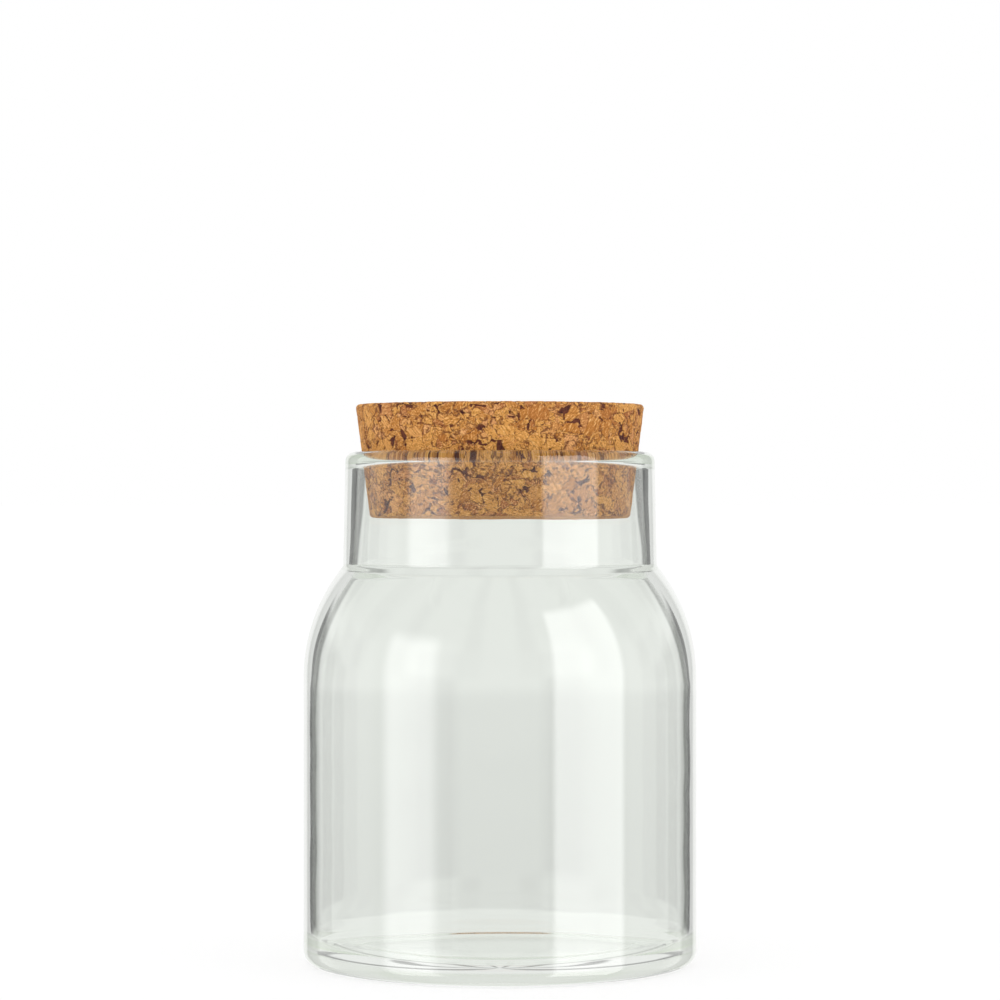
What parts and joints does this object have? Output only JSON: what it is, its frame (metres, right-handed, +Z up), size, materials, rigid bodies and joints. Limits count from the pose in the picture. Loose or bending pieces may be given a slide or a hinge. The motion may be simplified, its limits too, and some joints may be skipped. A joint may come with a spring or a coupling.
{
  "type": "storage jar",
  "caption": "Round clear glass storage jar with a domed shoulder, a wide straight neck and a tapered cork stopper that lifts out.",
  "frame": {"origin": "on the jar's axis, in the plane that the jar stands on", "axes": "+Z up along the jar's axis, through the middle of the stopper; the jar is round, so +X and +Y are any two directions square to it"},
  "size_m": [0.085, 0.085, 0.1209],
  "materials": {
    "clear_glass": "clear, polished",
    "pressed_cork": "matte, pressed cork granules"
  },
  "bodies": {
    "jar": {"glass_jar": "clear_glass"},
    "stopper": {"cork_stopper": "pressed_cork"}
  },
  "joints": [
    {"name": "stopper_lift", "type": "slide", "parent": "jar", "child": "stopper", "axis": [0, 0, 1], "range_m": [0, 0.08]}
  ]
}
